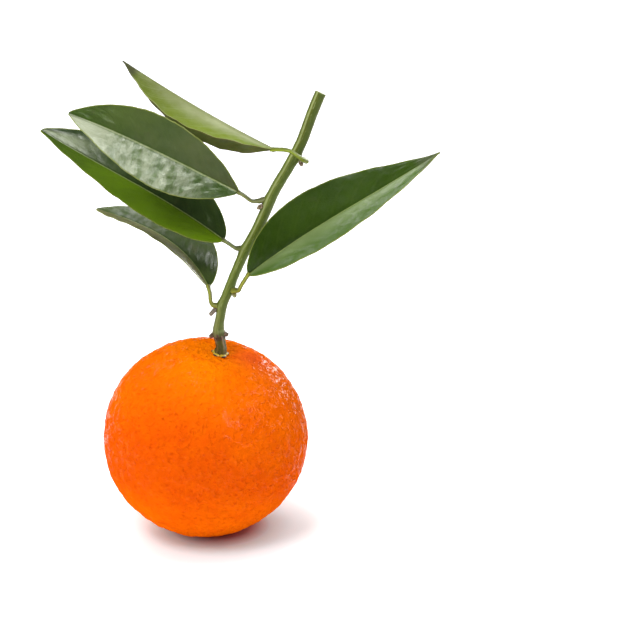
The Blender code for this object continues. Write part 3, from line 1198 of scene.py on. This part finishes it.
@dataclass(frozen=True)
class DryTrim:
    """The stubs and buds along the twig."""

    brown: DryFinish = DryFinish("stub_brown", (0.050, 0.026, 0.014), (0.200, 0.130, 0.080))
    grey: DryFinish = DryFinish("pedicel_grey", (0.090, 0.065, 0.040), (0.280, 0.240, 0.180))
    tan: DryFinish = DryFinish("bud_brown", (0.110, 0.060, 0.025), (0.330, 0.270, 0.170))
    green: DryFinish = DryFinish("bud_green", (0.120, 0.100, 0.030), (0.360, 0.370, 0.150))

    def stub(self, node: str, route: tuple[Point, ...], foot: float, end: float, finish: DryFinish) -> Stem:
        """Return a short broken stub, its sizes in millimetres.

        Args:
            node: the CAD node that it stands for.
            route: its route, from its foot out.
            foot: its radius at the foot.
            end: its radius at the end.
            finish: its dry skin.

        Returns:
            The stub.
        """
        def radius_at(share: float, turn: float) -> float:
            """Return the stub's radius at a share of its length and at a turn."""
            ragged = 0.12 * cos(3 * turn + 9 * share) * ease(share, 0.5, 1.0)
            return (foot + (end - foot) * share) * MM * (1 + ragged)

        first, second = Vector(route[0]), Vector(route[1])
        buried = first.lerp(first * 2 - second, 0.35)
        return Stem(node, Slot.DRY, smooth_route((buried, *route), 8), [finish.make()], radius_at,
                    sides=28, ridges=4, ridge_height=0.10, roughness=0.16 * MM)

    def pieces(self) -> list[Piece]:
        """Return every stub and bud, in order.

        Returns:
            The pieces.
        """
        stubs = (
            ("scale_stub_left", ((3.2, -3.6, 66.9), (2.2, -3.8, 66.4)), 0.85, 0.60, self.brown),
            ("scale_stub_right", ((7.2, -3.6, 67.2), (8.1, -3.6, 66.9)), 0.80, 0.55, self.brown),
            ("dead_pedicel", ((4.3, -3.4, 75.5), (3.5, -3.8, 74.8), (2.4, -4.3, 74.0)), 0.72, 0.58,
             self.grey),
        )
        buds = (
            ("bud_1", (31.4, -0.6, 121.9), (0.3, 0.0, -1.0), 1.0, 0.70, self.tan),
            ("bud_2", (18.5, -0.1, 107.9), (-0.8, -0.2, -0.5), 1.2, 0.70, self.tan),
            ("bud_5", (10.3, -3.8, 80.4), (0.3, -0.3, -1.0), 1.0, 0.75, self.green),
        )
        pieces = [self.stub(*facts) for facts in stubs]
        return pieces + [Bud(node, Slot.DRY, *facts) for node, *facts in buds]


# ---------------------------------------------------------------- leaves

@dataclass(frozen=True)
class BladeRow:
    """One row of a blade: its place on the midrib, its upper normal and its side axis."""

    foot: Vector
    normal: Vector
    side: Vector


@dataclass
class Leaf:
    """One leaf: its stalk, and a blade that is folded along its midrib, bent and quilted.

    heading, rise and roll point the midrib's foot: heading is measured from +X about +Z. bend
    drops the midrib away from the upper face, sweep turns it sideways and twist rolls the
    blade, all in degrees over its length. fold lifts both halves from flat, at the foot and at
    the tip, and crown curls them more near the midrib than at the margin. tail is how much
    narrower the blade is from tail_from on, and narrowest is its least half width.
    """

    number: int
    stalk: tuple[Point, ...]
    heading: float
    rise: float
    roll: float
    length: float
    half_width: float
    bend: tuple[float, float]
    sweep: float
    twist: float
    fold: tuple[float, float]
    widest_at: float
    roundness: float
    upper: LeafFinish
    under: LeafFinish
    stalk_colour: Colour
    crown: float = 0.35
    tail: float = 0.0
    tail_from: float = 0.85
    wave: float = 0.5 * MM
    quilt: float = 0.13 * MM
    thickness: float = 0.34 * MM
    narrowest: float = 0.45 * MM
    walk: int = 20
    rows: int = 150
    columns: int = 26

    def half_width_at(self, share: float) -> float:
        """Return half the blade's width at a share of its length.

        Args:
            share: the share of the length.

        Returns:
            Half the width.
        """
        tip_power = self.roundness * (1 - self.widest_at) / self.widest_at
        share = min(max(share, 0.0), 1.0)
        outline = (share / self.widest_at) ** self.roundness
        outline *= ((1 - share) / (1 - self.widest_at)) ** tip_power
        floor = self.narrowest * (1.0 - 0.75 * ease(share, 0.93, 1.0))
        tail = 1.0 - self.tail * ease(share, self.tail_from - 0.05, self.tail_from + 0.02)
        return max(self.half_width * outline * tail, floor)

    def walk_midrib(self) -> list[BladeRow]:
        """Walk along the midrib in the CAD model's own steps.

        Returns:
            The rows, from the foot to the tip.
        """
        heading, rise, roll = (radians(angle) for angle in (self.heading, self.rise, self.roll))
        along = Vector((cos(rise) * cos(heading), cos(rise) * sin(heading), sin(rise)))
        level = Vector((-sin(rise) * cos(heading), -sin(rise) * sin(heading), cos(rise)))
        normal = level * cos(roll) + along.cross(level) * sin(roll)
        foot = Vector(self.stalk[-1]) * MM + along * GAP
        rows = [BladeRow(foot, normal, along.cross(normal))]
        for row in range(self.walk):
            share = (row + 0.5) / self.walk
            bend = radians(self.bend[0] * (1 - share) + self.bend[1] * share) / self.walk
            side = along.cross(normal)
            turn = Quaternion(side, -bend) @ Quaternion(normal, -radians(self.sweep) / self.walk)
            turn = turn @ Quaternion(along, radians(self.twist) / self.walk)
            along, normal = (turn @ along).normalized(), (turn @ normal).normalized()
            foot = foot + along * self.length / self.walk
            rows.append(BladeRow(foot, normal, along.cross(normal)))
        return rows

    def row_at(self, walked: list[BladeRow], share: float) -> BladeRow:
        """Return the row at any share of the length, on smooth curves through the walked rows.

        Args:
            walked: the walked rows.
            share: the share of the blade's length.

        Returns:
            The row there.
        """
        last = len(walked) - 1
        start = min(int(share * last), last - 1)
        t = share * last - start
        four = [walked[min(max(start + step, 0), last)] for step in (-1, 0, 1, 2)]
        foot = between(*(row.foot for row in four), t)
        normal = four[1].normal.lerp(four[2].normal, t).normalized()
        side = four[1].side.lerp(four[2].side, t).normalized()
        return BladeRow(foot, normal, side)

    def quilt_at(self, along: float, across: float) -> float:
        """Return the quilting between the side veins, from about -1 in a vein to 1 on a cushion.

        Args:
            along: the share of the blade's length.
            across: the share of its half-width, with its sign.

        Returns:
            The quilting's height.
        """
        out = abs(across)
        other = 1.0 if across > 0 else 0.0
        turn = along * self.upper.vein_count + VEIN_STAGGER * other
        turn -= self.upper.vein_lean * out ** VEIN_CURVE
        patch = Vector((turn * 1.5, out * 3.2, self.number * 5.0 + 9.0 * other))
        patches = noise.noise(patch) + 0.45 * noise.noise(patch * 2.3)
        lines = 0.35 * cos(2 * pi * (turn + 0.25 * noise.noise(patch * 0.8)))
        return (1.5 * patches - lines) * ease(1 - out, 0.0, 0.3)

    def relief_at(self, along: float, across: float, out: float) -> float:
        """Return how far the whole blade stands off its sheet: waves, quilting and dents.

        Args:
            along: the share of the blade's length.
            across: the share of its half-width, with its sign.
            out: the distance from the midrib.

        Returns:
            The height.
        """
        flat = Vector((along * self.length, across * self.half_width, self.number * 31 * MM))
        waves = noise.noise(flat / (11 * MM)) * ease(abs(across), 0.0, 0.6)
        margin = 0.35 * sin(along * 41 + 2.1 * self.number) * ease(abs(across), 0.6, 1.0)
        quilting = self.quilt_at(along, across) + 0.3 * noise.noise(flat / (1.8 * MM))
        quilting *= ease(out, 0.0, 2 * MM)
        return (self.wave * (waves + margin) + self.quilt * quilting) * ease(along, 0.0, 0.12)

    def build_blade(self) -> Skin:
        """Shape the blade as a closed sheet with two faces.

        Returns:
            The blade's skin.
        """
        skin = Skin()
        walked = self.walk_midrib()
        tops, bottoms = [], []
        for number in range(self.rows + 1):
            share = number / self.rows
            top, bottom = self.build_row(skin, self.row_at(walked, share), share)
            tops.append(top)
            bottoms.append(bottom)
        skin.bands(tops, closed=False, finish=Face.UPPER.value)
        skin.bands(bottoms, closed=False, finish=Face.UNDER.value)
        for edge in (0, -1):
            skin.bands(([row[edge] for row in tops], [row[edge] for row in bottoms]), closed=False)
            skin.bands((tops[edge], bottoms[edge]), closed=False)
        return skin

    def build_row(self, skin: Skin, row: BladeRow, share: float) -> tuple[list[int], list[int]]:
        """Add one row of points on both faces.

        Args:
            skin: the blade's skin.
            row: where the row is.
            share: the share of the blade's length.

        Returns:
            The numbers of the upper and of the under points.
        """
        fold = radians(self.fold[0] * (1 - share) + self.fold[1] * share)
        ragged = 1 + 0.012 * noise.noise(Vector((share * 30, self.number * 7, 0)))
        reach = self.half_width_at(share) * ragged
        taper = 1 - 0.8 * share
        top, bottom = [], []
        for column in range(-self.columns, self.columns + 1):
            sign = 1 if column > 0 else -1
            off = abs(column / self.columns) ** 1.2
            out = reach * off
            angle = fold * (1 + self.crown * (0.5 - 0.5 * off))
            lean = fold * (1 + self.crown * (0.5 - off))
            flat = row.side * sign
            middle = row.foot + flat * out * cos(angle) + row.normal * out * sin(angle)
            normal = row.normal * cos(lean) - flat * sin(lean) * ease(out, 0.0, 0.6 * MM)
            middle = middle + normal * self.relief_at(share, off * sign, out)
            half = 0.5 * self.thickness * (1 - 0.45 * off ** 4)
            groove = 0.20 * MM * bell(out, 0.40 * MM) * taper
            ridge = (0.10 + 0.42 * taper) * MM * bell(out, 0.55 * MM)
            values = {"along": share, "across": off * sign, "from_rib": out, "from_edge": reach - out}
            top.append(skin.point(middle + normal * (half - groove), **values))
            bottom.append(skin.point(middle - normal * (half + ridge), **values))
        return top, bottom

    def build_stalk(self) -> Stem:
        """Return the leaf stalk: a swollen foot, a slim middle and a jointed head.

        Returns:
            The stalk.
        """
        def radius_at(share: float, turn: float) -> float:
            """Return the stalk's radius at a share of its length."""
            joint = 0.10 * bell(share - 0.93, 0.03) - 0.16 * bell(share - 0.975, 0.015)
            return MM * (0.62 + 0.42 * bell(share, 0.22) + joint + 0.10 * share)

        first, second, *_, before, last = (Vector(point) for point in self.stalk)
        route = (first + (first - second).normalized() * 0.7, *self.stalk,
                 last + (last - before).normalized() * 0.9)
        plain, pale, dark = (tuple(min(1.0, share * part) for part in self.stalk_colour)
                             for share in (1.0, 1.9, 0.45))
        bark = StemFinish(f"petiole_skin_{self.number}", top=plain, middle=plain, foot=plain, collar=plain,
                          ridge=pale, groove=dark, cork=dark, roughness=0.42, streak=0.35, dots=0.2)
        return Stem(f"petiole_{self.number}", Slot.PETIOLE, smooth_route(route, 14), [bark.make()],
                    radius_at, ridges=2, ridge_height=0.09, roughness=0.06 * MM)

    def dress(self) -> list[bpy.types.Object]:
        """Build the stalk and the blade and give them their skins.

        Returns:
            The two objects.
        """
        faces = (self.upper.make(), self.under.make())
        blade = Piece(f"leaf_{self.number}", Slot.LEAF).settle(self.build_blade(), *faces)
        return [self.build_stalk().dress(), blade]


def upper_face(number: int, deep: Colour, ground: Colour, **changes: float | Colour) -> LeafFinish:
    """Return the upper face of a leaf: dark, waxy green with a pale midrib.

    Args:
        number: the leaf's number.
        deep: its darkest green.
        ground: its usual green.
        changes: any other field that differs on this leaf.

    Returns:
        The finish.
    """
    usual = {
        "name": f"leaf_upper_{number}", "deep": deep, "ground": ground, "rib": (0.26, 0.33, 0.10),
        "vein": (0.10, 0.15, 0.025), "margin": (0.24, 0.28, 0.05), "through": (0.16, 0.30, 0.005),
        "stain": (0.050, 0.058, 0.014), "roughness": 0.27, "shine": 0.75,
    }
    return LeafFinish(**{**usual, **changes})


def under_face(number: int, **changes: float | Colour) -> LeafFinish:
    """Return the underside of a leaf: paler, duller and with raised veins.

    Args:
        number: the leaf's number.
        changes: any field that differs on this leaf.

    Returns:
        The finish.
    """
    usual = {
        "name": f"leaf_under_{number}", "deep": (0.155, 0.200, 0.050), "ground": (0.240, 0.290, 0.090),
        "rib": (0.36, 0.40, 0.16), "vein": (0.30, 0.35, 0.13), "margin": (0.34, 0.38, 0.12),
        "through": (0.16, 0.28, 0.01), "stain": (0.220, 0.230, 0.080), "roughness": 0.50, "shine": 0.35,
        "vein_strength": 0.35, "rib_width": 0.7 * MM,
    }
    return LeafFinish(**{**usual, **changes})


def five_leaves() -> list[Leaf]:
    """Return the five leaves, numbered from the cut end down.

    Returns:
        The leaves.
    """
    return [
        Leaf(1, ((32.6, -0.5, 122.9), (31.7, -2.3, 123.7), (30.0, -3.3, 125.1), (27.9, -3.9, 126.6),
                 (24.8, -4.2, 127.1), (22.8, -4.0, 127.0)),
             167, 24, -151, 54 * MM, 12 * MM, (9, 5), 1, -9, (30, 48), 0.45, 0.92,
             upper_face(1, (0.075, 0.095, 0.018), (0.130, 0.146, 0.042), margin=(0.13, 0.10, 0.03),
                        burn=0.85),
             # The underside is lighter and whitish near the foot and darker towards the tip and the margin:
             # a painted sheen over its own pale green.
             under_face(1, deep=(0.23, 0.26, 0.09), ground=(0.38, 0.415, 0.20), rim=(0.155, 0.22, 0.006),
                        rim_share=0.90, flush=(0.52, 0.55, 0.38), flush_half=0.0, flush_share=0.8,
                        flush_fade=1.0, rib=(0.13, 0.15, 0.05), tip=(0.09, 0.12, 0.012), tip_share=0.85,
                        vein_strength=0.20, burn=0.85),
             (0.15, 0.19, 0.012), crown=0.25, tail=0.12, tail_from=0.86, quilt=0.12 * MM),
        Leaf(2, ((19.2, 0.7, 109.9), (18.0, 0.0, 109.8), (16.0, -1.0, 110.1), (14.1, -2.2, 111.8),
                 (12.3, -3.0, 113.2)),
             201, 30, -114, 58 * MM, 11 * MM, (13, 22), -5, 58, (22, 17), 0.5, 0.81,
             # The whitish, streaky tip colour on the lower half is a painted sheen.
             upper_face(2, (0.040, 0.084, 0.011), (0.068, 0.114, 0.018), stain=(0.075, 0.075, 0.030),
                        flush=(0.118, 0.112, 0.070), flush_share=0.55, flush_fade=0.95,
                        rib=(0.36, 0.42, 0.18), rib_width=0.42 * MM, tip=(0.52, 0.56, 0.40),
                        tip_from=0.10, tip_full=0.32, tip_patch=1.0, tip_half=-1.0, tip_share=0.90,
                        dull_half=1.0, dull_share=0.75, shine=1.0),
             under_face(2), (0.12, 0.13, 0.035), quilt=0.19 * MM),
        Leaf(3, ((11.8, -0.1, 94.5), (10.6, -0.2, 94.7), (9.0, -0.4, 95.9), (7.3, -0.5, 97.1)),
             160, 33, -43, 67 * MM, 12.5 * MM, (8, -43), -22, 30, (20, 20), 0.45, 0.61,
             # The bright yellow-green flush on the lower half is painted light shining through the blade;
             # the pale tip patch by the midrib on the upper half is a painted sheen.
             upper_face(3, (0.018, 0.034, 0.011), (0.032, 0.058, 0.014), flush=(0.185, 0.325, 0.003),
                        flush_half=-1.0, flush_share=0.90, flush_fade=0.80, thinner=0.16,
                        tip=(0.34, 0.39, 0.24), tip_from=0.45, tip_half=1.0, tip_reach=0.80,
                        tip_share=0.72, tip_patch=0.85, dull_half=-1.0, dull_share=0.95,
                        dull_foot=0.8, shine=1.0),
             under_face(3), (0.10, 0.12, 0.03), wave=0.35 * MM),
        Leaf(4, ((4.1, -3.0, 76.6), (3.3, -3.2, 77.0), (2.7, -2.8, 78.1), (2.5, -2.0, 80.2),
                 (2.0, -1.0, 81.9)),
             117, 36, 9, 58.5 * MM, 11.5 * MM, (67, -9), -28, -2, (31, 14), 0.47, 0.67,
             upper_face(4, (0.034, 0.062, 0.012), (0.064, 0.094, 0.022), stain=(0.14, 0.12, 0.05),
                        flush=(0.30, 0.25, 0.12), flush_half=-1.0, flush_share=0.50, flush_fade=0.3,
                        vein_strength=0.03, shine=1.0),
             under_face(4), (0.16, 0.17, 0.02), wave=0.25 * MM, quilt=0.06 * MM),
        Leaf(5, ((10.4, -3.9, 81.8), (11.7, -5.2, 82.3), (12.4, -6.2, 83.8), (13.5, -7.0, 85.8),
                 (14.8, -7.5, 87.9)),
             0, 39, 52, 70.5 * MM, 12 * MM, (30, -27), 7, -30, (33, 4), 0.4, 0.71,
             # The paler flush on the lower half is a painted sheen, and the darker rim keeps that sheen near
             # the midrib.
             upper_face(5, (0.021, 0.047, 0.002), (0.034, 0.070, 0.005), flush=(0.225, 0.305, 0.120),
                        flush_share=0.82, flush_fade=0.32, rim=(0.066, 0.125, 0.020), rim_half=1.0,
                        rim_share=1.0, burnt=(0.10, 0.11, 0.06), burn=0.45),
             under_face(5), (0.17, 0.18, 0.02), wave=0.3 * MM, quilt=0.09 * MM, narrowest=0.8 * MM),
    ]


# ---------------------------------------------------------------- studio

def stand(data: bpy.types.ID, place: Vector, target: Vector) -> bpy.types.Object:
    """Put a lamp or a camera at a place, pointing at a target.

    Args:
        data: the lamp or camera.
        place: where it stands.
        target: what it points at.

    Returns:
        The object, in the scene.
    """
    thing = bpy.data.objects.new(data.name, data)
    thing.location = place
    thing.rotation_euler = (target - place).to_track_quat("-Z", "Y").to_euler()
    bpy.context.scene.collection.objects.link(thing)
    return thing


@dataclass(frozen=True)
class Softbox:
    """One soft lamp that points at the fruit: where it is, how wide and how bright."""

    name: str
    azimuth: float
    elevation: float
    distance: float
    width: float
    height: float
    radiance: float
    lights_matt: bool = True
    lights_gloss: bool = True

    def hang(self, target: Vector) -> None:
        """Hang the lamp.

        Args:
            target: what it points at.
        """
        turn, rise = radians(self.azimuth), radians(self.elevation)
        away = Vector((cos(rise) * cos(turn), cos(rise) * sin(turn), sin(rise)))
        lamp = bpy.data.lights.new(self.name, "AREA")
        lamp.shape = "RECTANGLE"
        lamp.size = self.width
        lamp.size_y = self.height
        lamp.energy = self.radiance * pi * self.width * self.height
        thing = stand(lamp, target + away * self.distance, target)
        thing.visible_diffuse = self.lights_matt
        thing.visible_glossy = self.lights_gloss


@dataclass(frozen=True)
class Studio:
    """The white floor, the soft light and the camera."""

    camera_place: Vector = field(default_factory=lambda: Vector((0.03726, -0.53852, 0.24577)))
    camera_target: Vector = field(default_factory=lambda: Vector((0.03726, 0.01166, 0.06700)))
    lens: float = 100.0
    sensor: float = 36.0
    clip: tuple[float, float] = (0.01, 50.0)
    floor_rings: tuple[float, ...] = (0.2, 1.0, 3.0, 9.0)
    floor_sides: int = 96
    target: Vector = field(default_factory=lambda: Vector((0.01, 0.0, 0.075)))
    softboxes: tuple[Softbox, ...] = (
        Softbox("softbox_overhead", 180, 84, 0.95, 0.30, 0.30, 16.0),
        Softbox("softbox_key", -122, 56, 0.95, 0.30, 0.30, 13.8, lights_gloss=False),
        Softbox("softbox_right", -12, 34, 0.80, 1.40, 0.74, 8.5, lights_matt=False),
        Softbox("softbox_strip", -57, 36, 0.80, 0.22, 0.30, 12.0, lights_matt=False),
        Softbox("softbox_back", 125, 40, 0.90, 0.60, 0.45, 4.0),
        Softbox("softbox_low", 54, 13, 0.65, 0.36, 0.26, 16.0, lights_matt=False),
    )
    front: float = 0.35
    back: float = 0.78

    def lay_floor(self) -> None:
        """Lay the round white floor."""
        skin = Skin()
        rows = [[skin.point(Vector((0, 0, 0)))]]
        for radius in self.floor_rings:
            turns = (2 * pi * side / self.floor_sides for side in range(self.floor_sides))
            rows.append([skin.point(Vector((radius * cos(turn), radius * sin(turn), 0))) for turn in turns])
        skin.bands(rows)
        skin.thing("studio_floor", [FloorFinish().make()])

    def light_world(self) -> None:
        """Surround the stage with white that is brighter behind and above than in front."""
        bench = Bench("studio_white", Owner.WORLD)
        way = bench.node("ShaderNodeTexCoord", out="Generated")
        behind, above, beside = (bench.node("ShaderNodeSeparateXYZ", {}, {0: way}, axis) for axis in "YZX")
        bright = (behind + above * 0.5 - beside * 0.40).step(-0.7, 0.6)
        white = bright * (self.back - self.front) + self.front
        world = bench.close(bench.node("ShaderNodeBackground", {}, {"Color": white}))
        world.cycles_visibility.glossy = False
        bpy.context.scene.world = world

    def set_camera(self) -> None:
        """Put the camera in front of the fruit, a little above it."""
        camera = bpy.data.cameras.new("portrait_camera")
        camera.lens = self.lens
        camera.sensor_width = self.sensor
        camera.clip_start, camera.clip_end = self.clip
        bpy.context.scene.camera = stand(camera, self.camera_place, self.camera_target)

    def set_up(self) -> None:
        """Make the whole studio."""
        scene = bpy.context.scene
        scene.view_settings.view_transform = "Standard"
        scene.view_settings.look = "None"
        self.lay_floor()
        self.light_world()
        self.set_camera()
        for softbox in self.softboxes:
            softbox.hang(self.target)
        LOG.info("studio: floor, %d softboxes and camera", len(self.softboxes))


# ---------------------------------------------------------------- making


def main() -> None:
    """Set up the studio, then build the mandarin from the fruit up to its leaves."""
    logging.basicConfig(level=logging.INFO, format="%(name)s: %(message)s")
    Studio().set_up()
    form = FruitForm()
    sizes = TwigSizes()
    Fruit("fruit", Slot.PEEL, form).dress()
    Calyx("calyx", Slot.CALYX, form).dress()
    sizes.peduncle(form).dress()
    sizes.twig().dress()
    for piece in DryTrim().pieces():
        piece.dress()
    for leaf in five_leaves():
        leaf.dress()


if __name__ == "__main__":
    main()
